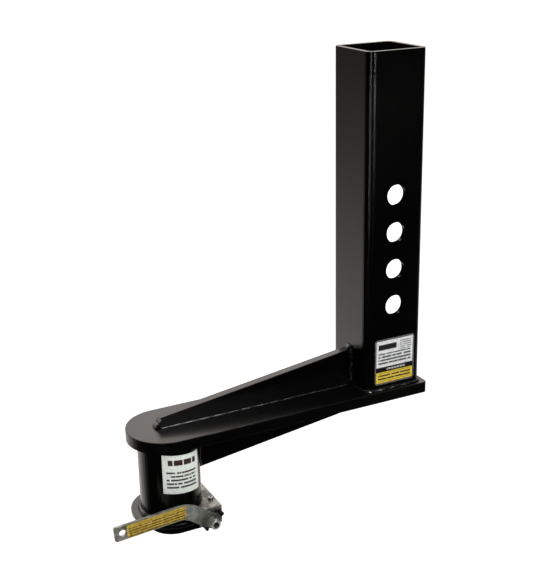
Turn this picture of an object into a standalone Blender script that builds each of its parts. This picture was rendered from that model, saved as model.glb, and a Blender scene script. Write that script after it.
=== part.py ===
"""Offset gooseneck trailer coupler on a square inner tube, with a lever-turned lock shaft.

Frame: origin on the mast's axis at the top face of the arm plate, +Z up the mast,
+X from the ball socket toward the mast.  Lengths below are in millimetres.
"""
import math

import bmesh
import bpy
from mathutils import Matrix, Vector

MM = 0.001
GAP = 0.3                      # clearance between touching pieces

# driving dimensions
MAST_SIDE = 88.9
MAST_WALL = 6.35
MAST_CORNER = 10.5
MAST_HEIGHT = 460.0
PIN_HOLE_DIA = 28.0
PIN_PITCH = 50.8
PIN_FIRST = 120.8
PIN_COUNT = 4
OFFSET = 318.3                 # mast axis to ball axis
PLATE_WIDTH = 103.5
PLATE_THICK = 15.9
PLATE_TAIL = 8.0               # plate beyond the mast's rear face
PLATE_LEAD = 2.5               # plate's round end beyond the ball axis
GUSSET_THICK = 12.7
GUSSET_NOSE = 12.6             # upper gusset height at the nose
GUSSET_RISE = 53.0             # upper gusset height at the mast
TUBE_RADIUS = 40.5
TUBE_BORE = 34.0
TUBE_DROP = 117.0              # plate top face down to the tube's lower end
FLANGE_RADIUS = 53.3
FLANGE_THICK = 5.5
BALL_RADIUS = 29.37            # 2-5/16 in ball
SEAT_CLEAR = 0.6
MOUTH_CLEAR = 1.0
SHAFT_RADIUS = 8.5
SHAFT_CLEAR = 0.4
LEVER_REACH = 133.0            # hub to the far end of the lever, along X
LEVER_DEPTH = 20.5
LEVER_THICK = 4.0
LEVER_CLEAR = 3.5              # lever's inner face to the arm plate's edge
LEVER_FALL = 6.5               # drop of the lever's end below its bend
LEVER_RISE = 24.5              # hub up to the lever's bend

# dependent dimensions
HALF_MAST = MAST_SIDE / 2
HALF_PLATE = PLATE_WIDTH / 2
MOUTH_RADIUS = BALL_RADIUS + MOUTH_CLEAR
SHAFT_FLAT = 3.2               # lock shaft's axis to its relief flat
SHAFT_X = MOUTH_RADIUS + SHAFT_FLAT
FLANGE_TOP = -TUBE_DROP - GAP
FLANGE_BOTTOM = FLANGE_TOP - FLANGE_THICK
SHAFT_Z = -TUBE_DROP - 4.5
BALL_Z = SHAFT_Z + math.sqrt((BALL_RADIUS + SHAFT_RADIUS + GAP) ** 2 - SHAFT_X ** 2)
CUT_X = SHAFT_X - SHAFT_RADIUS - 2.5      # front face of the carrier block
BLOCK_REAR = SHAFT_X + 20.0
BLOCK_TOP = SHAFT_Z + SHAFT_RADIUS + 2.6
BLOCK_BOTTOM = SHAFT_Z - SHAFT_RADIUS - 5.5
RING_BOTTOM = BLOCK_BOTTOM - 5.0
RING_HALF = 37.5               # lower ring's half width
RING_FRONT = MOUTH_RADIUS + 2.6
RING_CORNER = RING_FRONT
BLOCK_NEAR = -44.0
BLOCK_FAR = 45.0
NECK_RADIUS = 6.8
PIN_RADIUS = 2.4               # stop pin under the lever
LEVER_Y = -(HALF_PLATE + LEVER_CLEAR + LEVER_THICK)   # lever's outer face
SCREW_X = SHAFT_X + 13.1
SCREW_Y = 24.0
POST_RADIUS = 2.9
POST_X = SHAFT_X + 16.2
POST_Z = SHAFT_Z + 3.0
ROUND = 56                     # sides on a turned piece
FINE = 32                      # sides on a small bore or pin


# ---------------------------------------------------------------- materials

def paint(name, colour, rough, metal):
    """A plain coat, one per piece."""
    mat = bpy.data.materials.new(name)
    mat.use_nodes = True
    shader = mat.node_tree.nodes["Principled BSDF"]
    shader.inputs["Base Color"].default_value = (*colour, 1.0)
    shader.inputs["Roughness"].default_value = rough
    shader.inputs["Metallic"].default_value = metal
    return mat


def black(name):
    return paint(name, (0.012, 0.012, 0.013), 0.38, 0.0)


def zinc(name):
    return paint(name, (0.55, 0.57, 0.55), 0.35, 1.0)


def steel(name):
    return paint(name, (0.42, 0.42, 0.41), 0.3, 1.0)


# ---------------------------------------------------------------- solids

def place(name, bm, mat, at=(0, 0, 0)):
    """Finish a bmesh drawn in millimetres about `at` and put it in the scene there."""
    bmesh.ops.recalc_face_normals(bm, faces=bm.faces)
    bmesh.ops.scale(bm, vec=(MM, MM, MM), verts=bm.verts)
    mesh = bpy.data.meshes.new(name)
    bm.to_mesh(mesh)
    bm.free()
    ob = bpy.data.objects.new(name, mesh)
    bpy.context.scene.collection.objects.link(ob)
    ob.location = [c * MM for c in at]
    if mat:
        mesh.materials.append(mat)
    return ob


def prism(outline, depth, axis="Z", start=0.0):
    """Sweep a closed outline along +axis from `start`; outline pairs are (x, y), (x, z) or (y, z)."""
    bm = bmesh.new()
    spot = {"Z": lambda a, b, c: (a, b, c), "Y": lambda a, b, c: (a, c, b),
            "X": lambda a, b, c: (c, a, b)}[axis]
    low = [bm.verts.new(spot(a, b, start)) for a, b in outline]
    high = [bm.verts.new(spot(a, b, start + depth)) for a, b in outline]
    bm.faces.new(low)
    bm.faces.new(list(reversed(high)))
    count = len(outline)
    for i in range(count):
        j = (i + 1) % count
        bm.faces.new((low[j], low[i], high[i], high[j]))
    return bm


def circle(radius, centre=(0.0, 0.0), steps=ROUND, start=0.0, sweep=360.0):
    """Points on an arc; a full circle leaves out the repeated last point."""
    last = steps if abs(sweep) >= 360.0 else steps + 1
    turn = [math.radians(start + sweep * i / steps) for i in range(last)]
    return [(centre[0] + radius * math.cos(t), centre[1] + radius * math.sin(t)) for t in turn]


def rounded(width, depth, radius, steps=6):
    """A rectangle about the origin with rounded corners."""
    points = []
    for k, (sx, sy) in enumerate(((1, 1), (-1, 1), (-1, -1), (1, -1))):
        mid = (sx * (width / 2 - radius), sy * (depth / 2 - radius))
        points += circle(radius, mid, steps, 90.0 * k, 90.0)
    return points


def lathe(profile, axis="Z", steps=ROUND):
    """Turn a closed (radius, height) outline about the axis through the origin."""
    bm = bmesh.new()
    rings = []
    for i in range(steps):
        t = 2 * math.pi * i / steps
        c, s = math.cos(t), math.sin(t)
        ring = []
        for r, h in profile:
            ring.append(bm.verts.new((r * c, r * s, h) if axis == "Z" else (r * c, h, r * s)))
        rings.append(ring)
    count = len(profile)
    for i in range(steps):
        a, b = rings[i], rings[(i + 1) % steps]
        for j in range(count):
            k = (j + 1) % count
            bm.faces.new((a[j], b[j], b[k], a[k]))
    bmesh.ops.remove_doubles(bm, verts=bm.verts, dist=1e-6)
    return bm


def rod(radius, start, stop, axis="Z", steps=ROUND, centre=(0.0, 0.0)):
    return prism(circle(radius, centre, steps), stop - start, axis, start)


def hexagon(across, centre=(0.0, 0.0)):
    return circle(across / math.sqrt(3), centre, 6)


def slab(low, high):
    """An axis-aligned block between two corners."""
    bm = bmesh.new()
    bmesh.ops.create_cube(bm, size=1.0)
    size = Vector(high) - Vector(low)
    mid = (Vector(high) + Vector(low)) / 2
    bmesh.ops.scale(bm, vec=size, verts=bm.verts)
    bmesh.ops.translate(bm, vec=mid, verts=bm.verts)
    return bm


def cut(target, bm, name, at=(0, 0, 0), how="DIFFERENCE"):
    """Boolean a hidden helper solid out of (or into) the target."""
    helper = place(name, bm, None, at)
    helper.hide_render = True
    helper.display_type = "WIRE"
    step = target.modifiers.new(name, "BOOLEAN")
    step.operation = how
    step.solver = "EXACT"
    step.object = helper


def bake(target):
    """Apply the modifiers and drop the helper solids."""
    graph = bpy.context.evaluated_depsgraph_get()
    done = bpy.data.meshes.new_from_object(target.evaluated_get(graph))
    helpers = [m.object for m in target.modifiers if m.type == "BOOLEAN"]
    target.modifiers.clear()
    target.data = done
    for helper in helpers:
        bpy.data.objects.remove(helper, do_unlink=True)


def smooth(target, angle=32.0):
    target.data.shade_smooth()
    target.data.set_sharp_from_angle(angle=math.radians(angle))


def soften(target, width, segments=2, angle=40.0):
    step = target.modifiers.new("edges", "BEVEL")
    step.width = width * MM
    step.segments = segments
    step.limit_method = "ANGLE"
    step.angle_limit = math.radians(angle)


# ---------------------------------------------------------------- main weldment

def mast_tube():
    outer = rounded(MAST_SIDE, MAST_SIDE, MAST_CORNER)
    ob = place("mast_tube", prism(outer, MAST_HEIGHT - GAP, "Z", GAP), black("mast_paint"))
    bore = rounded(MAST_SIDE - 2 * MAST_WALL, MAST_SIDE - 2 * MAST_WALL, MAST_CORNER - MAST_WALL, 4)
    cut(ob, prism(bore, MAST_HEIGHT + 20, "Z", -10), "mast_bore")
    for i in range(PIN_COUNT):
        hole = rod(PIN_HOLE_DIA / 2, -MAST_SIDE, MAST_SIDE, "Y", 40, (0, PIN_FIRST + PIN_PITCH * i))
        cut(ob, hole, "pin_hole_%d" % i)
    bake(ob)
    smooth(ob)


def arm_plate():
    rear = HALF_MAST + PLATE_TAIL
    corner = 6.0
    outline = circle(HALF_PLATE, (-OFFSET - PLATE_LEAD, 0), 48, 90.0, 180.0)
    outline += circle(corner, (rear - corner, corner - HALF_PLATE), 6, -90.0, 90.0)
    outline += circle(corner, (rear - corner, HALF_PLATE - corner), 6, 0.0, 90.0)
    ob = place("arm_plate", prism(outline, PLATE_THICK, "Z", -PLATE_THICK), black("arm_paint"))
    soften(ob, 0.9)
    smooth(ob)


def upper_gusset():
    front = -HALF_MAST - GAP
    slope = (GUSSET_RISE - 25.3) / (front + 249.0)
    shoulder = GUSSET_NOSE + 1.7
    bend = front - (GUSSET_RISE - shoulder) / slope
    outline = [(-331.0, GAP), (front, GAP), (front, GUSSET_RISE), (bend, shoulder),
               (-327.0, GUSSET_NOSE - 1.0), (-331.0, GUSSET_NOSE - 5.0)]
    bm = prism(outline, GUSSET_THICK, "Y", -GUSSET_THICK / 2)
    ob = place("upper_gusset", bm, black("upper_gusset_paint"))
    soften(ob, 0.8, 2, 20.0)
    smooth(ob)


def lower_gusset():
    top = -PLATE_THICK - GAP
    front = -OFFSET + TUBE_RADIUS + GAP + 0.15
    rear = HALF_MAST - 6.0
    depth = -69.0
    outline = [(front, depth), (rear, depth + 0.128 * (rear - front)), (rear, top), (front, top)]
    bm = prism(outline, GUSSET_THICK, "Y", -GUSSET_THICK / 2)
    ob = place("lower_gusset", bm, black("lower_gusset_paint"))
    soften(ob, 0.8)
    smooth(ob)


# ---------------------------------------------------------------- coupler head

def coupler_tube():
    top = -PLATE_THICK - GAP
    profile = [(TUBE_BORE, -TUBE_DROP), (TUBE_RADIUS, -TUBE_DROP), (TUBE_RADIUS, top), (TUBE_BORE, top)]
    ob = place("coupler_tube", lathe(profile), black("coupler_paint"), (-OFFSET, 0, 0))
    groove = rod(SHAFT_RADIUS + SHAFT_CLEAR + GAP, -60, 60, "Y", FINE, (SHAFT_X, SHAFT_Z))
    cut(ob, groove, "tube_groove", (-OFFSET, 0, 0))
    bake(ob)
    smooth(ob)


def ball_socket():
    """Seat for the ball, fixed inside the tube."""
    seat = BALL_RADIUS + SEAT_CLEAR
    base = BALL_Z - 9.0
    outer = TUBE_BORE - GAP
    top = BALL_Z + seat + 10.0
    profile = [(MOUTH_RADIUS, base), (outer, base), (outer, top - 6.0), (outer - 6.0, top), (0.0, top)]
    arc = [math.radians(90.0 - 90.0 * i / 8) for i in range(1, 9)]
    profile += [(0.0, BALL_Z + seat)]
    profile += [(seat * math.cos(t), BALL_Z + seat * math.sin(t)) for t in arc]
    profile += [(MOUTH_RADIUS, BALL_Z - 1.0)]
    ob = place("ball_socket", lathe(profile, steps=40), steel("socket_steel"), (-OFFSET, 0, 0))
    groove = rod(SHAFT_RADIUS + SHAFT_CLEAR + GAP, -60, 60, "Y", FINE, (SHAFT_X, SHAFT_Z))
    cut(ob, groove, "socket_groove", (-OFFSET, 0, 0))
    bake(ob)
    smooth(ob)


def base_flange():
    profile = [(MOUTH_RADIUS, FLANGE_BOTTOM), (FLANGE_RADIUS, FLANGE_BOTTOM),
               (FLANGE_RADIUS, FLANGE_TOP), (MOUTH_RADIUS, FLANGE_TOP)]
    ob = place("base_flange", lathe(profile, steps=72), black("flange_paint"), (-OFFSET, 0, 0))
    cut(ob, slab((CUT_X - GAP, -80, -200), (100, 80, -50)), "flange_cut", (-OFFSET, 0, 0))
    bake(ob)
    soften(ob, 0.7, 1)
    smooth(ob)


def lower_ring():
    """Guide under the flange, with a tail that carries the shaft block."""
    turn = (RING_CORNER - RING_FRONT, RING_HALF - RING_CORNER)
    outline = circle(RING_CORNER, turn, 12, 90.0, 90.0)
    outline += circle(RING_CORNER, (turn[0], -turn[1]), 12, 180.0, 90.0)
    outline += [(BLOCK_REAR, -RING_HALF), (BLOCK_REAR, RING_HALF)]
    top = FLANGE_BOTTOM - GAP
    ob = place("lower_ring", prism(outline, top - RING_BOTTOM, "Z", RING_BOTTOM),
               black("ring_paint"), (-OFFSET, 0, 0))
    cut(ob, slab((CUT_X - GAP, -80, BLOCK_BOTTOM - GAP), (100, 80, -50)), "ring_cut", (-OFFSET, 0, 0))
    cut(ob, rod(MOUTH_RADIUS, -200, -50, "Z", 48), "ring_mouth", (-OFFSET, 0, 0))
    for side in (-1, 1):
        cut(ob, rod(2.3, -200, -50, "Z", 24, (SCREW_X, side * SCREW_Y)), "ring_tap%d" % side,
            (-OFFSET, 0, 0))
    bake(ob)
    soften(ob, 0.7, 1, 80.0)
    smooth(ob)


def shaft_carrier():
    """Block that the lock shaft turns in."""
    low = (CUT_X, BLOCK_NEAR, BLOCK_BOTTOM)
    ob = place("shaft_carrier", slab(low, (BLOCK_REAR, BLOCK_FAR, BLOCK_TOP)),
               zinc("carrier_zinc"), (-OFFSET, 0, 0))
    at = (-OFFSET, 0, 0)
    cut(ob, rod(TUBE_RADIUS + 0.8, FLANGE_TOP, -50, "Z", ROUND), "saddle", at)
    cut(ob, rod(MOUTH_RADIUS, -200, -50, "Z", 48), "carrier_mouth", at)
    cut(ob, rod(SHAFT_RADIUS + SHAFT_CLEAR, -80, 80, "Y", 40, (SHAFT_X, SHAFT_Z)), "carrier_bore", at)
    for side in (-1, 1):
        cut(ob, rod(2.3, -200, -50, "Z", 24, (SCREW_X, side * SCREW_Y)), "screw_way%d" % side, at)
    hole = rod(1.6, BLOCK_NEAR - 5, BLOCK_NEAR + 6, "Y", 20, (SHAFT_X + 11.5, SHAFT_Z + 5.5))
    cut(ob, hole, "spring_hole", at)
    stop = rod(PIN_RADIUS + GAP, BLOCK_NEAR - 5, BLOCK_NEAR + 9, "Y", 24, stop_at())
    cut(ob, stop, "stop_hole", at)
    post = rod(POST_RADIUS + GAP, BLOCK_NEAR - 5, BLOCK_NEAR + 9, "Y", 24, (POST_X, POST_Z))
    cut(ob, post, "post_hole", at)
    bake(ob)
    soften(ob, 0.5, 1, 80.0)
    smooth(ob)


def carrier_screw(name, side):
    """Cap screw holding the block to the ring."""
    head = BLOCK_TOP + GAP
    at = (-OFFSET + SCREW_X, side * SCREW_Y, 0)
    profile = [(0.0, RING_BOTTOM + 1.0), (2.0, RING_BOTTOM + 1.0), (2.0, head), (3.6, head),
               (3.6, head + 2.6), (3.0, head + 3.2), (0.0, head + 3.2)]
    ob = place(name, lathe(profile, steps=24), steel(name + "_steel"), at)
    cut(ob, prism(hexagon(3.2), 3.0, "Z", head + 1.4), name + "_socket", at)
    bake(ob)
    smooth(ob)


def stop_at():
    """Centre of the stop pin, just under the lever arm where it leaves the hub."""
    along = Vector((-LEVER_RISE - 10.0, LEVER_RISE)).normalized()
    reach = LEVER_DEPTH / 2 + PIN_RADIUS + GAP
    return (SHAFT_X - along.y * reach, SHAFT_Z + along.x * reach)


# ---------------------------------------------------------------- lock

def lock_shaft():
    near = LEVER_Y - 0.3
    far = BLOCK_FAR + 7.0
    profile = [(0.0, near), (NECK_RADIUS, near), (NECK_RADIUS, BLOCK_NEAR + 0.5),
               (SHAFT_RADIUS, BLOCK_NEAR + 0.5), (SHAFT_RADIUS, BLOCK_FAR - 0.5),
               (NECK_RADIUS, BLOCK_FAR - 0.5), (NECK_RADIUS, BLOCK_FAR + 2.6), (5.4, BLOCK_FAR + 2.6),
               (5.4, BLOCK_FAR + 4.4), (NECK_RADIUS, BLOCK_FAR + 4.4), (NECK_RADIUS, far - 1.0),
               (NECK_RADIUS - 1.0, far), (0.0, far)]
    inner = LEVER_Y + LEVER_THICK
    ob = place("lock_shaft", lathe(profile, "Y", 40), steel("shaft_steel"), (-OFFSET + SHAFT_X, 0, SHAFT_Z))
    at = (-OFFSET + SHAFT_X, 0, SHAFT_Z)
    cut(ob, slab((-20, -21, -20), (20, 21, -SHAFT_FLAT)), "relief", at)
    for side in (-1, 1):
        flat = sorted((side * 5.2, side * 12.0))
        cut(ob, slab((flat[0], near - 5, -20), (flat[1], inner + 0.3, 20)), "drive%d" % side, at)
    cut(ob, rod(3.5, near - 5, BLOCK_NEAR + 6.0, "Y", 24), "tapped", at)
    bake(ob)
    smooth(ob)


def lever_line():
    """Centre line of the dog-leg bar, hub at the origin, running toward -X round a soft bend."""
    hub, bend = Vector((0, 0)), Vector((-LEVER_RISE - 10.0, LEVER_RISE))
    tip = Vector((-LEVER_REACH, LEVER_RISE - LEVER_FALL))
    start = bend - (bend - hub).normalized() * 13.0
    stop = bend + (tip - bend).normalized() * 13.0
    line = []
    for i in range(9):
        t = i / 8
        line.append(start * (1 - t) ** 2 + bend * 2 * t * (1 - t) + stop * t ** 2)
    return line, bend, tip


def lever_outline():
    """Outline of the bar seen from the side: bend, square end with clipped corners, round hub."""
    half = LEVER_DEPTH / 2
    line, bend, tip = lever_line()
    upper, lower = [], []
    for i, p in enumerate(line):
        ahead = (line[min(i + 1, 8)] - line[max(i - 1, 0)]).normalized()
        side = Vector((ahead.y, -ahead.x)) * half
        upper.append(tuple(p + side))
        lower.append(tuple(p - side))
    arm = (tip - line[-1]).normalized()
    side = Vector((arm.y, -arm.x))
    end = [tip + side * half - arm * 2, tip + side * (half - 2), tip - side * (half - 2), tip - side * half - arm * 2]
    root = line[0].normalized()
    start = math.degrees(math.atan2(root.x, -root.y))
    return upper + [tuple(p) for p in end] + lower[::-1] + circle(half, (0, 0), 24, start, 180.0)


def lever():
    """Flat zinc bar keyed on the shaft, with an eye for a tie at its free end."""
    at = (-OFFSET + SHAFT_X, 0, SHAFT_Z)
    ob = place("lever", prism(lever_outline(), LEVER_THICK, "Y", LEVER_Y), zinc("lever_zinc"), at)
    reach = NECK_RADIUS + GAP
    wide = math.degrees(math.acos(5.4 / reach))
    key = circle(reach, (0, 0), 12, wide, 180 - 2 * wide) + circle(reach, (0, 0), 12, 180 + wide,
                                                                   180 - 2 * wide)
    cut(ob, prism(key, 40, "Y", LEVER_Y - 20), "key_way", at)
    eye = (-LEVER_REACH + 10.6, LEVER_RISE - LEVER_FALL + 0.4)
    cut(ob, rod(4.75, LEVER_Y - 20, LEVER_Y + 20, "Y", 32, eye), "eye", at)
    bake(ob)
    soften(ob, 0.6)
    smooth(ob)


def lever_decal():
    """Thin label along the lever's outer face."""
    at = (-OFFSET + SHAFT_X, 0, SHAFT_Z)
    half = LEVER_DEPTH / 2 - 1.3
    line, bend, tip = lever_line()
    left, right = tip.x + 16.5, bend.x - 13.5 + 11.0
    slope = (bend.y - tip.y) / (bend.x - tip.x)
    mid = [bend.y + slope * (x - bend.x) for x in (left, right)]
    outline = [(left, mid[0] - half), (right, mid[1] - half), (right, mid[1] + half), (left, mid[0] + half)]
    place("lever_decal", prism(outline, 0.3, "Y", LEVER_Y - 0.35), paint("lever_label", (0.8, 0.6, 0.05), 0.4, 0.0),
          at)


def lever_washer():
    stop = LEVER_Y - 0.3 - GAP
    ob = place("lever_washer", lathe([(4.3, stop - 1.6), (8.4, stop - 1.6), (8.4, stop), (4.3, stop)], "Y", FINE),
               zinc("washer_zinc"), (-OFFSET + SHAFT_X, 0, SHAFT_Z))
    smooth(ob)


def lever_screw():
    """Socket-head screw in the shaft's near end."""
    seat = LEVER_Y - 0.3 - 2 * GAP - 1.6
    at = (-OFFSET + SHAFT_X, 0, SHAFT_Z)
    profile = [(0.0, seat - 8.6), (6.0, seat - 8.6), (6.75, seat - 7.8), (6.75, seat), (3.2, seat),
               (3.2, BLOCK_NEAR + 4.0), (0.0, BLOCK_NEAR + 4.0)]
    ob = place("lever_screw", lathe(profile, "Y", 40), steel("screw_steel"), at)
    cut(ob, prism(hexagon(7.4), 16.0, "Y", seat - 20.6), "hex_socket", at)
    bake(ob)
    smooth(ob)


def coil(radius, wire, start, stop, turns, tail):
    """Round wire wound about the Y axis, ending in a straight leg along +Y."""
    steps, sides = int(turns * 20), 8
    path = []
    for i in range(steps + 1):
        t = 2 * math.pi * turns * i / steps
        path.append(Vector((radius * math.cos(t), start + (stop - start) * i / steps, radius * math.sin(t))))
    last = path[-1]
    knee = Vector((tail[0], stop, tail[1]))
    path += [last.lerp(knee, 0.5), knee]
    path += [knee + Vector((0, wire * 2.2, 0)), knee + Vector((0, wire * 4.0, 0))]
    bm = bmesh.new()
    rings = []
    for i, p in enumerate(path):
        ahead = path[min(i + 1, len(path) - 1)] - path[max(i - 1, 0)]
        ahead.normalize()
        helper = Vector((0, 1, 0)) if abs(ahead.y) < 0.8 else Vector((1, 0, 0))
        if rings:
            helper = previous
        u = (helper - ahead * helper.dot(ahead)).normalized()
        v = ahead.cross(u)
        previous = u
        rings.append([bm.verts.new(p + (u * math.cos(a) + v * math.sin(a)) * wire)
                      for a in [2 * math.pi * k / sides for k in range(sides)]])
    for a, b in zip(rings, rings[1:]):
        for k in range(sides):
            m = (k + 1) % sides
            bm.faces.new((a[k], a[m], b[m], b[k]))
    bm.faces.new(list(reversed(rings[0])))
    bm.faces.new(rings[-1])
    return bm


def torsion_spring():
    at = (-OFFSET + SHAFT_X, 0, SHAFT_Z)
    wire = 1.15
    start, stop = BLOCK_NEAR - 7.6, BLOCK_NEAR - wire - 0.35
    bm = coil(9.0, wire, start, stop, 2.0, (11.5, 5.5))
    ob = place("torsion_spring", bm, black("spring_black"), at)
    smooth(ob, 50)


def stop_pin():
    """Pin the lever's underside rests on."""
    at = (-OFFSET + stop_at()[0], 0, stop_at()[1])
    near = LEVER_Y + 0.6
    profile = [(0.0, near), (PIN_RADIUS - 0.6, near), (PIN_RADIUS, near + 0.6),
               (PIN_RADIUS, BLOCK_NEAR + 8.0), (0.0, BLOCK_NEAR + 8.0)]
    ob = place("stop_pin", lathe(profile, "Y", 32), steel("pin_steel"), at)
    smooth(ob)


def spring_post():
    """Black post that keeps the spring's fixed leg in place."""
    at = (-OFFSET + POST_X, 0, POST_Z)
    near = BLOCK_NEAR - 9.8
    profile = [(0.0, near), (POST_RADIUS - 0.8, near), (POST_RADIUS, near + 0.8),
               (POST_RADIUS, BLOCK_NEAR + 8.0), (0.0, BLOCK_NEAR + 8.0)]
    ob = place("spring_post", lathe(profile, "Y", FINE), black("post_black"), at)
    smooth(ob)


def far_washer():
    face = BLOCK_FAR + GAP
    ob = place("far_washer", lathe([(NECK_RADIUS + GAP, face), (10.4, face), (10.4, face + 1.8),
                                    (NECK_RADIUS + GAP, face + 1.8)], "Y", FINE),
               zinc("far_washer_zinc"), (-OFFSET + SHAFT_X, 0, SHAFT_Z))
    smooth(ob)


def retaining_ring():
    """Open clip sitting in the shaft's groove."""
    inner, outer = 5.4 + GAP, 10.2
    outline = circle(outer, (0, 0), 28, -60.0, 300.0) + list(reversed(circle(inner, (0, 0), 28, -60.0, 300.0)))
    ob = place("retaining_ring", prism(outline, 1.1, "Y", BLOCK_FAR + 2.95), black("clip_black"),
               (-OFFSET + SHAFT_X, 0, SHAFT_Z))
    smooth(ob)


# ---------------------------------------------------------------- labels

def mast_decal():
    """Thin label with round corners low on the mast's near side."""
    outline = [(x + 1.5, z + 41.0) for x, z in rounded(63.0, 66.0, 4.0, 5)]
    bm = prism(outline, 0.3, "Y", -HALF_MAST - 0.35)
    place("mast_decal", bm, paint("mast_label", (0.8, 0.8, 0.78), 0.4, 0.0))


def tube_decal():
    """Curved label wrapped a little crooked on the tube's outside."""
    start, sweep, tilt = -123.7, 76.6, 5.5
    inner, outer = TUBE_RADIUS + 0.1, TUBE_RADIUS + 0.4
    outline = circle(outer, (0, 0), 18, start, sweep) + list(reversed(circle(inner, (0, 0), 18, start, sweep)))
    bm = prism(outline, 54.8, "Z", -80.6)
    for vert in bm.verts:
        share = (math.degrees(math.atan2(vert.co.y, vert.co.x)) - start) / sweep
        vert.co.z += tilt * (0.5 - share)
    ob = place("tube_decal", bm, paint("tube_label", (0.8, 0.8, 0.78), 0.4, 0.0), (-OFFSET, 0, 0))
    smooth(ob)


def main():
    for ob in list(bpy.data.objects):
        bpy.data.objects.remove(ob, do_unlink=True)
    mast_tube()
    arm_plate()
    upper_gusset()
    lower_gusset()
    coupler_tube()
    ball_socket()
    base_flange()
    lower_ring()
    shaft_carrier()
    carrier_screw("carrier_screw_near", -1)
    carrier_screw("carrier_screw_far", 1)
    stop_pin()
    spring_post()
    torsion_spring()
    lock_shaft()
    lever()
    lever_washer()
    lever_screw()
    far_washer()
    retaining_ring()
    mast_decal()
    tube_decal()
    lever_decal()


main()
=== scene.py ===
import math

import bmesh
import bpy
from mathutils import Matrix, Vector


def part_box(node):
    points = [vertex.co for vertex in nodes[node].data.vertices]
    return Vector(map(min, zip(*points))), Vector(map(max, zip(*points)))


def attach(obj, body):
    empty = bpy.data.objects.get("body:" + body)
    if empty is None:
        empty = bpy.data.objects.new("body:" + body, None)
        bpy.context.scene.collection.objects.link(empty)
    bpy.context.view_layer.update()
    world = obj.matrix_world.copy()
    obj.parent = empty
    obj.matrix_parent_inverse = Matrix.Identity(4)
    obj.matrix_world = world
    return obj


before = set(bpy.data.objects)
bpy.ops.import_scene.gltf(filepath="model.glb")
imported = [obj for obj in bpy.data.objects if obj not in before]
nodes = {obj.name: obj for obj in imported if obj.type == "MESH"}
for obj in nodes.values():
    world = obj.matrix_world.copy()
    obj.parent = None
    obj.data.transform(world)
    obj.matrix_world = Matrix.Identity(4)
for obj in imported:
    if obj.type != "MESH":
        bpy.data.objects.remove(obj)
scene = bpy.context.scene
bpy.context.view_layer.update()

BODY = "coupler"                 # the body that the welds ride
MAST_CORNER = 0.0105             # outer corner radius of the square tube
PIN_FIRST, PIN_PITCH, PIN_COUNT = 0.1208, 0.0508, 4
CARD_RADIUS, CARD_DEPTH = 0.0198, 0.0072     # white cards, and how far behind the near face they stand
FLOOR_Z = -0.32
COUPLER_X = 0.3183               # from the square tube's axis to the coupler tube's
LABEL_RADIUS = 0.0408            # round label's outer face
LABEL_FROM, LABEL_TO = -123.7, -47.1         # its two ends, in degrees about the tube's axis
LABEL_TILT = 0.00275             # half the height by which it sits askew
LEVER_SLOPE = 0.0661             # rise of the lever per metre along X
CAMERA_AT = (-0.771876, -1.206649, 0.630685)
CAMERA_RIGHT = (0.89154, -0.45249, -0.02015)
CAMERA_UP = (0.16494, 0.28290, 0.94486)
CAMERA_BACK = (-0.42184, -0.84571, 0.32686)
CAMERA_LENS, CAMERA_SENSOR = 68.87, 36.0


# ------------------------------------------------------------------ node graph helper

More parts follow.
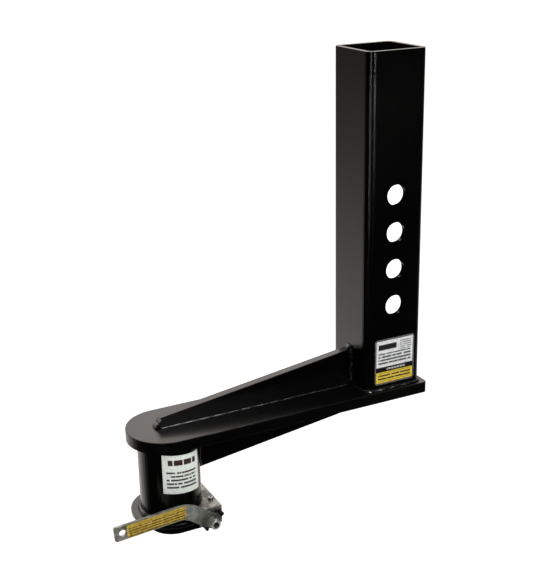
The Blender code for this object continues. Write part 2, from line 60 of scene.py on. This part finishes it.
class Graph:
    """A material's node tree, with short calls for the maths the coats below are made of."""

    def __init__(self, name):
        self.mat = bpy.data.materials.new(name)
        self.mat.use_nodes = True
        self.tree = self.mat.node_tree
        self.shader = self.tree.nodes["Principled BSDF"]

    def add(self, kind, **sets):
        node = self.tree.nodes.new(kind)
        for key, value in sets.items():
            setattr(node, key, value)
        return node

    def feed(self, socket, value):
        if isinstance(value, bpy.types.NodeSocket):
            self.tree.links.new(value, socket)
        else:
            socket.default_value = value

    def put(self, name, value):
        self.feed(self.shader.inputs[name], value)

    def math(self, op, a, b=0.0, c=None, clamp=False):
        node = self.add("ShaderNodeMath", operation=op, use_clamp=clamp)
        self.feed(node.inputs[0], a)
        self.feed(node.inputs[1], b)
        if c is not None:
            self.feed(node.inputs[2], c)
        return node.outputs[0]

    def place(self):
        """Row-frame position, in metres: every mesh here keeps its vertices in that frame."""
        return self.add("ShaderNodeTexCoord").outputs["Object"]

    def split(self, vector):
        node = self.add("ShaderNodeSeparateXYZ")
        self.feed(node.inputs[0], vector)
        return node.outputs

    def scaled(self, vector, by):
        node = self.add("ShaderNodeVectorMath", operation="MULTIPLY")
        self.feed(node.inputs[0], vector)
        node.inputs[1].default_value = by
        return node.outputs[0]

    def noise(self, vector, scale, detail=3.0, rough=0.5, warp=0.0):
        node = self.add("ShaderNodeTexNoise")
        self.feed(node.inputs["Vector"], vector)
        node.inputs["Scale"].default_value = scale
        node.inputs["Detail"].default_value = detail
        node.inputs["Roughness"].default_value = rough
        node.inputs["Distortion"].default_value = warp
        return node.outputs[0]

    def cells(self, vector, scale, kind="F1", out="Distance"):
        node = self.add("ShaderNodeTexVoronoi", feature=kind)
        self.feed(node.inputs["Vector"], vector)
        node.inputs["Scale"].default_value = scale
        return node.outputs[out]

    def span(self, value, low, high, to_low=0.0, to_high=1.0, smooth=True):
        node = self.add("ShaderNodeMapRange", interpolation_type="SMOOTHSTEP" if smooth else "LINEAR")
        self.feed(node.inputs["Value"], value)
        for key, number in (("From Min", low), ("From Max", high), ("To Min", to_low), ("To Max", to_high)):
            node.inputs[key].default_value = number
        return node.outputs["Result"]

    def mix(self, amount, a, b):
        node = self.add("ShaderNodeMix", data_type="RGBA")
        self.feed(node.inputs[0], amount)
        self.feed(node.inputs[6], a)
        self.feed(node.inputs[7], b)
        return node.outputs[2]

    def inside(self, value, low, high):
        """1 where low < value < high."""
        above = self.math("GREATER_THAN", value, low)
        below = self.math("LESS_THAN", value, high)
        return self.math("MULTIPLY", above, below)

    def both(self, a, b):
        return self.math("MULTIPLY", a, b)

    def either(self, a, b):
        return self.math("MAXIMUM", a, b)

    def bump(self, height, distance, strength=1.0, normal=None):
        node = self.add("ShaderNodeBump")
        self.feed(node.inputs["Height"], height)
        node.inputs["Distance"].default_value = distance
        node.inputs["Strength"].default_value = strength
        if normal is not None:
            self.feed(node.inputs["Normal"], normal)
        return node.outputs["Normal"]

    def edges(self, reach=0.001, low=0.02, high=0.22):
        """1 along edges, 0 on flats, whatever the mesh's own facets are."""
        soft = self.add("ShaderNodeBevel", samples=4)
        soft.inputs["Radius"].default_value = reach
        turn = self.add("ShaderNodeVectorMath", operation="DOT_PRODUCT")
        self.feed(turn.inputs[0], soft.outputs[0])
        self.feed(turn.inputs[1], self.add("ShaderNodeNewGeometry").outputs["Normal"])
        return self.span(self.math("SUBTRACT", 1.0, turn.outputs["Value"]), low, high)


def rgb(r, g, b):
    return (r, g, b, 1.0)


# ------------------------------------------------------------------ coats

def black_paint(name, gloss=0.24, peel=0.00006, wear=0.25, mill=0.0):
    """Semi-gloss enamel: orange peel, faint clouding, dust and edges rubbed slightly brown."""
    g = Graph(name)
    here = g.place()
    cloud = g.noise(here, 6.0, 2.0, 0.45)
    fine = g.noise(here, 900.0, 2.0, 0.5)
    skin = g.noise(here, 420.0, 2.0, 0.45)
    specks = g.span(g.cells(here, 260.0), 0.05, 0.11, 1.0, 0.0)
    dusty = g.both(specks, g.span(g.noise(here, 60.0, 2.0), 0.56, 0.66))
    rub = g.both(g.edges(0.0011), g.span(g.noise(here, 90.0, 4.0, 0.65), 0.42, 0.62))
    base = g.mix(g.span(cloud, 0.3, 0.7), rgb(0.0008, 0.0008, 0.0008), rgb(0.0016, 0.0015, 0.0014))
    base = g.mix(g.math("MULTIPLY", dusty, 0.2), base, rgb(0.03, 0.028, 0.025))
    base = g.mix(g.math("MULTIPLY", rub, wear), base, rgb(0.06, 0.054, 0.048))
    g.put("Base Color", base)
    rough = g.span(cloud, 0.25, 0.75, gloss - 0.03, gloss + 0.03)
    rough = g.math("ADD", rough, g.math("MULTIPLY", dusty, 0.2))
    g.put("Roughness", g.math("ADD", rough, g.span(fine, 0.3, 0.7, -0.02, 0.03), clamp=True))
    g.put("IOR", 1.5)
    g.put("Coat Weight", 0.12)
    g.put("Coat Roughness", 0.12)
    normal = g.bump(skin, peel, 0.5)
    if mill:
        long = g.scaled(here, (30.0, 30.0, 1.5))
        normal = g.bump(g.noise(long, 12.0, 3.0), mill, 0.5, normal)
    g.put("Normal", normal)
    return g.mat


def weld_paint(name):
    """The same enamel over a weld: glossier where it pooled between the ripples."""
    g = Graph(name)
    here = g.place()
    lumps = g.noise(here, 300.0, 3.0, 0.55)
    spatter = g.span(g.cells(here, 420.0), 0.12, 0.34, 1.0, 0.0)
    g.put("Base Color", g.mix(g.span(lumps, 0.35, 0.7), rgb(0.0026, 0.0025, 0.0026),
                              rgb(0.011, 0.0104, 0.0098)))
    g.put("Roughness", g.span(lumps, 0.3, 0.7, 0.13, 0.3))
    g.put("Coat Weight", 0.5)
    g.put("Coat Roughness", 0.08)
    height = g.math("ADD", lumps, g.math("MULTIPLY", spatter, 0.35))
    g.put("Normal", g.bump(height, 0.00035, 0.8))
    return g.mat


def from_axis(g, here):
    """Distance from the lock shaft's centre line, which the lever and its screw share."""
    lo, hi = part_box("lever_screw")
    x, _, z = g.split(here)[:3]
    dx = g.math("SUBTRACT", x, (lo[0] + hi[0]) / 2)
    dz = g.math("SUBTRACT", z, (lo[2] + hi[2]) / 2)
    return g.math("SQRT", g.math("ADD", g.math("MULTIPLY", dx, dx), g.math("MULTIPLY", dz, dz)))


def zinc(name, tone=1.0, dull=0.36, stain=0.4, size=1.0, hub=False, socket=False):
    """Zinc plate gone slightly green-grey and mottled; `hub` adds painted shade near the shaft's axis, and
    `socket` painted shade in the screw's recess with a painted highlight ring round it."""
    g = Graph(name)
    here = g.place()
    mottle = g.noise(here, 110.0 * size, 5.0, 0.65, 0.4)
    broad = g.noise(here, 60.0, 4.0, 0.6, 0.3)
    spangle = g.cells(here, 380.0, "F1", "Color")
    grain = g.split(spangle)[0]
    drag = g.noise(g.scaled(here, (25.0, 400.0, 300.0)), 6.0, 3.0, 0.6)
    light = rgb(0.56 * tone, 0.57 * tone, 0.52 * tone)
    dark = rgb(0.2 * tone, 0.205 * tone, 0.17 * tone)
    base = g.mix(g.span(mottle, 0.3, 0.7), dark, light)
    base = g.mix(g.math("MULTIPLY", g.span(broad, 0.46, 0.6), stain), base,
                 rgb(0.07 * tone, 0.068 * tone, 0.05 * tone))
    base = g.mix(g.math("MULTIPLY", grain, 0.12), base, rgb(0.62 * tone, 0.63 * tone, 0.6 * tone))
    if hub or socket:
        away = from_axis(g, here)
    if hub:
        # painted shade: darkest within 8 mm of the shaft's axis, fading out by 34 mm, broken up by the
        # mottle
        painted_hub_shade = g.both(g.span(away, 0.008, 0.034, 1.0, 0.0), g.span(mottle, 0.32, 0.58, 0.25, 1.0))
        base = g.mix(g.math("MULTIPLY", painted_hub_shade, 0.85), base, rgb(0.035, 0.036, 0.026))
    if socket:
        # painted highlight: a bright ring on the screw head's flat face round its socket
        painted_ring_highlight = g.both(g.span(away, 0.0042, 0.0047), g.span(away, 0.0058, 0.0064, 1.0, 0.0))
        base = g.mix(g.math("MULTIPLY", painted_ring_highlight, 0.75), base, rgb(0.8, 0.8, 0.78))
        # painted shade: the socket inside that ring darkened to near black
        base = g.mix(g.span(away, 0.0036, 0.0042, 1.0, 0.0), base, rgb(0.012, 0.012, 0.011))
    base = g.mix(g.math("MULTIPLY", g.edges(0.0008), 0.6), base, rgb(0.72, 0.72, 0.69))
    g.put("Base Color", base)
    g.put("Metallic", g.span(mottle, 0.2, 0.8, 0.5, 0.72))
    rough = g.span(mottle, 0.3, 0.7, dull - 0.04, dull + 0.14)
    g.put("Roughness", g.math("ADD", rough, g.span(drag, 0.4, 0.7, -0.04, 0.06), clamp=True))
    height = g.math("ADD", g.math("MULTIPLY", mottle, 0.6), g.math("MULTIPLY", drag, 0.5))
    g.put("Normal", g.bump(height, 0.00025, 0.7))
    return g.mat


def bare_steel(name, tone=0.4, axis=(40.0, 900.0, 40.0), dull=0.28):
    """Turned or machined steel with tool marks and a film of oil."""
    g = Graph(name)
    here = g.place()
    lines = g.noise(g.scaled(here, axis), 1.0, 3.0, 0.6)
    film = g.noise(here, 70.0, 4.0, 0.6)
    base = g.mix(g.span(film, 0.35, 0.7), rgb(tone, tone, tone * 0.97),
                 rgb(tone * 0.45, tone * 0.43, tone * 0.38))
    g.put("Base Color", base)
    g.put("Metallic", 1.0)
    g.put("Roughness", g.span(film, 0.3, 0.7, dull - 0.06, dull + 0.16))
    g.put("Normal", g.bump(lines, 0.00006, 0.6))
    return g.mat


def black_oxide(name):
    """Thin black finish on small parts, with an oily film."""
    g = Graph(name)
    here = g.place()
    film = g.noise(here, 240.0, 4.0, 0.6)
    g.put("Base Color", g.mix(g.span(film, 0.35, 0.7), rgb(0.008, 0.008, 0.009), rgb(0.03, 0.028, 0.026)))
    g.put("Metallic", 0.6)
    g.put("Roughness", g.span(film, 0.3, 0.7, 0.26, 0.42))
    g.put("Normal", g.bump(film, 0.00008, 0.6))
    return g.mat


def lines_of_print(g, along, down, pitch, length, ragged=0.5, weight=0.55, seed=0.0):
    """Rows of broken bars that stand for print without spelling anything."""
    row = g.math("FLOOR", g.math("DIVIDE", down, pitch))
    part = g.math("FRACT", g.math("DIVIDE", down, pitch))
    stroke = g.inside(part, 0.5 - weight / 2, 0.5 + weight / 2)
    shift = g.math("FRACT", g.math("MULTIPLY", g.math("SINE", g.math(
        "MULTIPLY", g.math("ADD", row, seed + 0.37), 12.9898)), 43.7585))
    cell = g.math("ADD", g.math("DIVIDE", along, length), shift)
    join = g.add("ShaderNodeCombineXYZ")
    g.feed(join.inputs[0], cell)
    g.feed(join.inputs[1], g.math("MULTIPLY", row, 3.1))
    words = g.math("GREATER_THAN", g.noise(join.outputs[0], 2.2, 2.0, 0.7), ragged)
    return g.both(stroke, words)


def mast_label(name):
    """White over yellow label with a silver border, a plain heading bar, a black band and rows of
    bars for print."""
    g = Graph(name)
    here = g.place()
    x, _, z = g.split(here)[:3]
    tone = g.noise(here, 220.0, 3.0)
    white = g.mix(g.span(tone, 0.3, 0.7), rgb(0.6, 0.62, 0.61), rgb(0.74, 0.755, 0.75))
    silver = g.mix(g.span(g.noise(here, 500.0, 2.0), 0.3, 0.7), rgb(0.3, 0.3, 0.3), rgb(0.5, 0.5, 0.5))
    yellow = g.mix(g.span(tone, 0.3, 0.7), rgb(0.62, 0.44, 0.02), rgb(0.78, 0.57, 0.03))
    inner = g.both(g.inside(x, -0.0287, 0.0317), g.inside(z, 0.0093, 0.0727))
    keyline = g.math("SUBTRACT", inner, g.both(g.inside(x, -0.0278, 0.0308), g.inside(z, 0.0102, 0.0718)))
    low = g.math("LESS_THAN", z, 0.0262)
    bar = g.inside(z, 0.0262, 0.0335)
    field = g.mix(low, white, yellow)
    small = lines_of_print(g, x, z, 0.0046, 0.0095, 0.4, 0.55, 3.0)
    words = g.both(small, g.both(g.inside(x, -0.0245, 0.0275), g.either(
        g.inside(z, 0.0122, 0.0248), g.inside(z, 0.0362, 0.0535))))
    fine = g.both(lines_of_print(g, x, z, 0.003, 0.006, 0.4, 0.4, 7.0),
                  g.both(g.inside(x, 0.01, 0.028), g.inside(z, 0.0548, 0.0695)))
    heading = g.both(g.inside(x, -0.0245, 0.0045), g.inside(z, 0.0585, 0.0665))
    field = g.mix(g.math("MULTIPLY", g.either(words, fine), 0.93), field, rgb(0.02, 0.02, 0.02))
    field = g.mix(heading, field, rgb(0.014, 0.014, 0.016))
    field = g.mix(bar, field, rgb(0.006, 0.006, 0.006))
    dashes = g.both(g.inside(z, 0.0286, 0.0311), g.both(g.inside(x, -0.011, 0.019), g.math(
        "GREATER_THAN", g.math("FRACT", g.math("DIVIDE", x, 0.0046)), 0.25)))
    field = g.mix(g.math("MULTIPLY", dashes, 0.8), field, rgb(0.6, 0.6, 0.58))
    field = g.mix(keyline, field, rgb(0.02, 0.02, 0.02))
    g.put("Base Color", g.mix(inner, silver, field))
    g.put("Roughness", g.span(tone, 0.3, 0.7, 0.3, 0.45))
    g.put("Metallic", g.math("SUBTRACT", 0.7, g.math("MULTIPLY", inner, 0.7)))
    g.put("Normal", g.bump(g.noise(here, 700.0, 2.0), 0.00003, 0.5))
    return g.mat


def tube_label(name):
    """White label wrapped on the tube, printed with a heading bar and rows of bars."""
    g = Graph(name)
    here = g.place()
    x, y, z = g.split(here)[:3]
    turn = g.math("ARCTAN2", y, g.math("ADD", x, COUPLER_X))
    along = g.math("MULTIPLY", turn, LABEL_RADIUS)
    left, right = math.radians(LABEL_FROM) * LABEL_RADIUS, math.radians(LABEL_TO) * LABEL_RADIUS
    z = g.math("ADD", z, g.span(along, left, right, -LABEL_TILT, LABEL_TILT, False))
    mottled = g.noise(here, 420.0, 4.0, 0.7)
    white = g.mix(g.span(mottled, 0.35, 0.65), rgb(0.62, 0.7, 0.63), rgb(0.84, 0.9, 0.83))
    head = g.both(g.inside(z, -0.0402, -0.0325), g.inside(along, left + 0.0075, right - 0.0065))
    head = g.both(head, g.math("GREATER_THAN", g.math("FRACT", g.math("DIVIDE", g.math(
        "SUBTRACT", along, left), 0.0135)), 0.12))
    rows = lines_of_print(g, along, g.math("ADD", z, 0.1), 0.0052, 0.0085, 0.4, 0.5, 1.0)
    rows = g.both(rows, g.both(g.inside(along, left + 0.005, right - 0.006), g.inside(z, -0.0752, -0.0492)))
    face = g.mix(g.math("MULTIPLY", head, 0.98), white, rgb(0.03, 0.004, 0.006))
    face = g.mix(g.math("MULTIPLY", rows, 0.95), face, rgb(0.016, 0.012, 0.012))
    g.put("Base Color", face)
    g.put("Roughness", g.span(mottled, 0.3, 0.7, 0.38, 0.55))
    g.put("Normal", g.bump(g.noise(here, 900.0, 2.0), 0.00003, 0.5))
    return g.mat


def lever_label(name):
    """Yellow strip with close rows of dark bars, rubbed thin in places."""
    g = Graph(name)
    here = g.place()
    x, _, z = g.split(here)[:3]
    level = g.math("SUBTRACT", z, g.math("MULTIPLY", g.math("ADD", x, 0.32), LEVER_SLOPE))
    tone = g.noise(here, 260.0, 4.0, 0.65)
    yellow = g.mix(g.span(tone, 0.3, 0.7), rgb(0.34, 0.21, 0.012), rgb(0.6, 0.42, 0.03))
    rows = lines_of_print(g, x, g.math("ADD", level, 0.2), 0.0036, 0.0052, 0.42, 0.5, 5.0)
    rows = g.both(rows, g.both(g.inside(x, -0.3995, -0.3225), g.inside(level, -0.1055, -0.0905)))
    face = g.mix(g.math("MULTIPLY", rows, 0.9), yellow, rgb(0.035, 0.02, 0.004))
    worn = g.span(g.noise(here, 130.0, 4.0, 0.7), 0.62, 0.72)
    face = g.mix(g.math("MULTIPLY", worn, 0.45), face, rgb(0.3, 0.28, 0.2))
    g.put("Base Color", face)
    g.put("Roughness", g.span(tone, 0.3, 0.7, 0.32, 0.5))
    g.put("Normal", g.bump(tone, 0.00004, 0.5))
    return g.mat


# ------------------------------------------------------------------ welds

def weld(name, path, sides, size, closed=False, pitch=0.0026):
    """A rippled fillet bead along `path`; sides[i] gives the two surface directions at each point."""
    profile = 7
    bm = bmesh.new()
    length = 0.0
    rings = []
    for i, root in enumerate(path):
        if i:
            length += (root - path[i - 1]).length
        a, b = sides[i]
        phase = (length / pitch) % 1.0
        ripple = 1.0 + 0.09 * (4 * phase * (1 - phase) - 0.5)
        drift = 1.0 + 0.07 * math.sin(length * 310.0) + 0.05 * math.sin(length * 137.0 + 1.0)
        ends = 1.0 if closed else min(1.0, 0.45 + 0.25 * min(i, len(path) - 1 - i))
        reach = size * drift * ends
        ring = [bm.verts.new(root - (a + b) * 0.0002)]
        for k in range(profile):
            t = math.pi / 2 * k / (profile - 1)
            r = reach / (math.cos(t) + math.sin(t)) * (1 + 0.17 * math.sin(2 * t) * ripple)
            r *= 1.0 + (ripple - 1.0) * math.sin(2 * t)
            ring.append(bm.verts.new(root + a * (r * math.cos(t)) + b * (r * math.sin(t))))
        rings.append(ring)
    count = profile + 1
    pairs = list(zip(rings, rings[1:])) + ([(rings[-1], rings[0])] if closed else [])
    for one, two in pairs:
        for k in range(count):
            m = (k + 1) % count
            bm.faces.new((one[k], one[m], two[m], two[k]))
    if not closed:
        bm.faces.new(rings[0])
        bm.faces.new(list(reversed(rings[-1])))
    bmesh.ops.recalc_face_normals(bm, faces=bm.faces)
    mesh = bpy.data.meshes.new(name)
    bm.to_mesh(mesh)
    bm.free()
    ob = bpy.data.objects.new(name, mesh)
    scene.collection.objects.link(ob)
    ob.data.shade_smooth()
    mesh.materials.append(WELD)
    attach(ob, BODY)


def straight(start, stop, step=0.0007):
    """Evenly spaced points from start to stop."""
    start, stop = Vector(start), Vector(stop)
    count = max(2, int((stop - start).length / step))
    return [start.lerp(stop, i / count) for i in range(count + 1)]


def along(name, start, stop, a, b, size):
    """Straight bead between two surfaces that face a and b."""
    path = straight(start, stop)
    weld(name, path, [(Vector(a), Vector(b))] * len(path), size)


def ring_weld(name, centre, radius, z, up, size, start=0.0, sweep=360.0):
    """Bead round a tube where it meets a flat plate; `up` is which way the plate faces."""
    count = int(math.radians(sweep) * radius / 0.0008)
    path, sides = [], []
    for i in range(count if sweep >= 360 else count + 1):
        t = math.radians(start + sweep * i / count)
        out = Vector((math.cos(t), math.sin(t), 0))
        path.append(Vector((centre[0], centre[1], z)) + out * radius)
        sides.append((out, Vector((0, 0, up))))
    weld(name, path, sides, size, closed=sweep >= 360)


def mast_weld(half, corner, size):
    """Bead round the square tube's foot."""
    path, sides = [], []
    flat = half - corner
    for k in range(4):
        turn = Matrix.Rotation(math.pi / 2 * k, 4, "Z")
        for p in straight((half, -flat, 0.0001), (half, flat, 0.0001))[:-1]:
            path.append(turn @ p)
            sides.append((turn.to_3x3() @ Vector((1, 0, 0)), Vector((0, 0, 1))))
        for i in range(14):
            t = math.pi / 2 * i / 14
            out = Vector((math.cos(t), math.sin(t), 0))
            path.append(turn @ (Vector((flat, flat, 0.0001)) + out * corner))
            sides.append((turn.to_3x3() @ out, Vector((0, 0, 1))))
    weld("mast_foot_weld", path, sides, size, closed=True)


def add_welds():
    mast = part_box("mast_tube")
    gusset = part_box("upper_gusset")
    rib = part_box("lower_gusset")
    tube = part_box("coupler_tube")
    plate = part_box("arm_plate")
    mast_weld(mast[1][0], MAST_CORNER, 0.0036)
    axis = ((tube[0][0] + tube[1][0]) / 2, 0.0)
    radius = (tube[1][1] - tube[0][1]) / 2
    under = plate[0][2]
    ring_weld("tube_plate_weld", axis, radius, under, -1, 0.0042)
    ring_weld("tube_flange_weld", axis, radius, tube[0][2], 1, 0.0042, 66.0, 228.0)
    side = gusset[1][1]
    wall, crest = mast[0][0], gusset[1][2]
    for sign, word in ((-1, "near"), (1, "far")):
        y = sign * side
        along("gusset_foot_weld_" + word, (gusset[0][0] + 0.001, y, 0.0), (wall - 0.003, y, 0.0),
              (0, sign, 0), (0, 0, 1), 0.0018)
        along("gusset_mast_weld_" + word, (wall, y, 0.002), (wall, y, crest),
              (0, sign, 0), (-1, 0, 0), 0.0042)
        along("rib_plate_weld_" + word, (rib[0][0] + 0.002, y, under), (rib[1][0] - 0.002, y, under),
              (0, sign, 0), (0, 0, -1), 0.0034)
        lean = math.sqrt(radius ** 2 - side ** 2)
        root = axis[0] + lean
        out = Vector((lean, y, 0)).normalized()
        along("rib_tube_weld_" + word, (root, y, under - 0.003), (root, y, rib[0][2] + 0.001),
              tuple(Vector((out.y * sign * 0.2, sign * 1.0, 0)).normalized()), (1, 0, 0), 0.0036)
    along("gusset_top_weld", (wall, -side, crest - 0.0004), (wall, side, crest - 0.0004),
          (0, 0, 1), (-1, 0, 0), 0.0052)
    nose = gusset[0][0]
    along("gusset_nose_weld", (nose, -side - 0.001, 0.0), (nose, side + 0.001, 0.0),
          (-1, 0, 0), (0, 0, 1), 0.0062)
    along("rib_end_weld", (rib[1][0], -side, under), (rib[1][0], side, under),
          (1, 0, 0), (0, 0, -1), 0.0034)


# ------------------------------------------------------------------ dressing the frame

def dress(node, mat):
    ob = nodes[node]
    ob.data.materials.clear()
    ob.data.materials.append(mat)


def dress_all():
    body_paint = black_paint("body_enamel", 0.22)
    dress("mast_tube", black_paint("mast_enamel", 0.2, 0.00005, 0.22, 0.0004))
    dress("arm_plate", black_paint("plate_enamel", 0.3, 0.00009, 0.3))
    dress("spring_post", black_oxide("post_black"))
    for node in ("upper_gusset", "lower_gusset", "coupler_tube"):
        dress(node, body_paint)
    ring_paint = black_paint("ring_enamel", 0.3, 0.00012, 0.4)
    dress("base_flange", ring_paint)
    dress("lower_ring", ring_paint)
    dress("lever", zinc("lever_zinc", 1.08, 0.34, 0.6, 1.0, hub=True))
    dress("shaft_carrier", zinc("carrier_zinc", 0.86, 0.28, 0.95, 1.8))
    small = zinc("washer_zinc", 0.8, 0.3, 0.7)
    dress("lever_washer", small)
    dress("far_washer", small)
    dress("lock_shaft", bare_steel("turned_steel", 0.42))
    dress("stop_pin", black_oxide("pin_black"))
    dress("lever_screw", zinc("screw_zinc", 1.15, 0.26, 0.5, 2.0, socket=True))
    dress("ball_socket", bare_steel("socket_steel", 0.34, (40.0, 40.0, 900.0), 0.34))
    screw = bare_steel("carrier_screw_steel", 0.4, (60.0, 60.0, 600.0), 0.3)
    dress("carrier_screw_near", screw)
    dress("carrier_screw_far", screw)
    dark = black_oxide("spring_black")
    dress("torsion_spring", dark)
    dress("retaining_ring", dark)
    dress("mast_decal", mast_label("mast_print"))
    dress("tube_decal", tube_label("tube_print"))
    dress("lever_decal", lever_label("lever_print"))


# ------------------------------------------------------------------ stage

def panel(name, where, aim, size, power):
    data = bpy.data.lights.new(name, "AREA")
    data.shape = "RECTANGLE"
    data.size, data.size_y = size
    data.energy = power
    ob = bpy.data.objects.new(name, data)
    scene.collection.objects.link(ob)
    ob.location = where
    ob.rotation_euler = (Vector(aim) - Vector(where)).to_track_quat("-Z", "Y").to_euler()


def make_floor(z):
    """Large pale floor, far enough below that the hanging part throws only a soft shade on it."""
    bm = bmesh.new()
    bmesh.ops.create_grid(bm, x_segments=8, y_segments=8, size=9.0)
    mesh = bpy.data.meshes.new("floor")
    bm.to_mesh(mesh)
    bm.free()
    ob = bpy.data.objects.new("floor", mesh)
    scene.collection.objects.link(ob)
    ob.location = (0, 0, z)
    g = Graph("floor_pale")
    speck = g.noise(g.place(), 3.0, 2.0)
    g.put("Base Color", g.mix(speck, rgb(0.86, 0.86, 0.86), rgb(0.9, 0.9, 0.9)))
    g.put("Roughness", 0.9)
    g.put("Emission Color", rgb(1, 1, 1))
    g.put("Emission Strength", 0.72)
    mesh.materials.append(g.mat)
    ob.visible_glossy = False
    ob.visible_shadow = False


def make_cards():
    """Small white backdrop cards behind the near pin holes, clear when seen from behind."""
    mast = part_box("mast_tube")
    g = Graph("card_white")
    g.put("Base Color", rgb(0.9, 0.9, 0.9))
    g.put("Roughness", 0.9)
    g.put("Emission Color", rgb(1, 1, 1))
    g.put("Emission Strength", 1.0)
    choose = g.add("ShaderNodeMixShader")
    g.feed(choose.inputs[0], g.add("ShaderNodeNewGeometry").outputs["Backfacing"])
    g.feed(choose.inputs[1], g.shader.outputs[0])
    g.feed(choose.inputs[2], g.add("ShaderNodeBsdfTransparent").outputs[0])
    g.feed(g.tree.nodes["Material Output"].inputs["Surface"], choose.outputs[0])
    for i in range(PIN_COUNT):
        z = PIN_FIRST + PIN_PITCH * i
        bm = bmesh.new()
        bmesh.ops.create_circle(bm, cap_ends=True, segments=32, radius=CARD_RADIUS)
        bmesh.ops.rotate(bm, matrix=Matrix.Rotation(math.pi / 2, 3, "X"), verts=bm.verts)
        bmesh.ops.translate(bm, vec=(0, mast[0][1] + CARD_DEPTH, z), verts=bm.verts)
        mesh = bpy.data.meshes.new("hole_card_%d" % i)
        bm.to_mesh(mesh)
        bm.free()
        ob = bpy.data.objects.new("hole_card_%d" % i, mesh)
        scene.collection.objects.link(ob)
        mesh.materials.append(g.mat)
        ob.visible_glossy = False
        ob.visible_diffuse = False


def make_world():
    """White to the eye; what lights and mirrors in the paint is bright behind and dark in front."""
    world = bpy.data.worlds.new("studio")
    world.use_nodes = True
    scene.world = world
    tree = world.node_tree
    tree.nodes.clear()
    new, link = tree.nodes.new, tree.links.new
    out = new("ShaderNodeOutputWorld")
    white, studio = new("ShaderNodeBackground"), new("ShaderNodeBackground")
    choose = new("ShaderNodeMixShader")
    white.inputs[0].default_value = (1, 1, 1, 1)
    white.inputs[1].default_value = 1.0
    path = new("ShaderNodeLightPath")
    link(path.outputs["Is Camera Ray"], choose.inputs[0])
    link(studio.outputs[0], choose.inputs[1])
    link(white.outputs[0], choose.inputs[2])
    link(choose.outputs[0], out.inputs[0])
    coord, split = new("ShaderNodeTexCoord"), new("ShaderNodeSeparateXYZ")
    link(coord.outputs["Generated"], split.inputs[0])

    def ramp(socket, low, high, to_low, to_high):
        node = new("ShaderNodeMapRange")
        node.interpolation_type = "SMOOTHSTEP"
        link(socket, node.inputs["Value"])
        for key, number in (("From Min", low), ("From Max", high), ("To Min", to_low), ("To Max", to_high)):
            node.inputs[key].default_value = number
        return node.outputs["Result"]

    def combine(kind, a, b):
        node = new("ShaderNodeMath")
        node.operation = kind
        link(a, node.inputs[0])
        link(b, node.inputs[1])
        return node.outputs[0]

    rear = ramp(split.outputs[1], 0.3, 0.84, 0.0, 1.0)
    right = combine("MULTIPLY", ramp(split.outputs[0], 0.1, 0.8, 0.0, 0.55),
                    ramp(split.outputs[1], -0.3, 0.15, 0.0, 1.0))
    behind = combine("MAXIMUM", rear, right)
    sky = ramp(split.outputs[2], -0.05, 0.34, 0.12, 1.7)
    ground = ramp(split.outputs[2], -0.1, -0.5, 0.0, 1.0)
    link(combine("MULTIPLY", behind, combine("ADD", sky, ground)), studio.inputs[1])
    studio.inputs[0].default_value = (1.0, 0.93, 0.88, 1)


def make_camera():
    data = bpy.data.cameras.new("camera")
    data.sensor_width = CAMERA_SENSOR
    data.lens = CAMERA_LENS
    data.clip_start = 0.05
    ob = bpy.data.objects.new("camera", data)
    scene.collection.objects.link(ob)
    turn = Matrix((CAMERA_RIGHT, CAMERA_UP, CAMERA_BACK)).transposed().to_4x4()
    ob.matrix_world = Matrix.Translation(CAMERA_AT) @ turn
    scene.camera = ob


def make_lights():
    panel("key", (0.1, -1.7, 1.5), (-0.15, 0, 0.0), (0.7, 0.5), 22.0)
    panel("side_strip", (-1.286, -1.532, 0.17), (0, 0, 0.17), (0.025, 0.86), 1.3)
    panel("front_strip", (0.484, -1.94, 0.255), (0, 0, 0.255), (0.025, 0.69), 1.2)
    panel("top", (0.1, 0.4, 2.2), (-0.1, 0, 0.1), (1.6, 1.2), 4.0)


WELD = weld_paint("weld_enamel")
scene.view_settings.view_transform = "Standard"
make_camera()
make_world()
make_lights()
make_floor(FLOOR_Z)
make_cards()
dress_all()
add_welds()
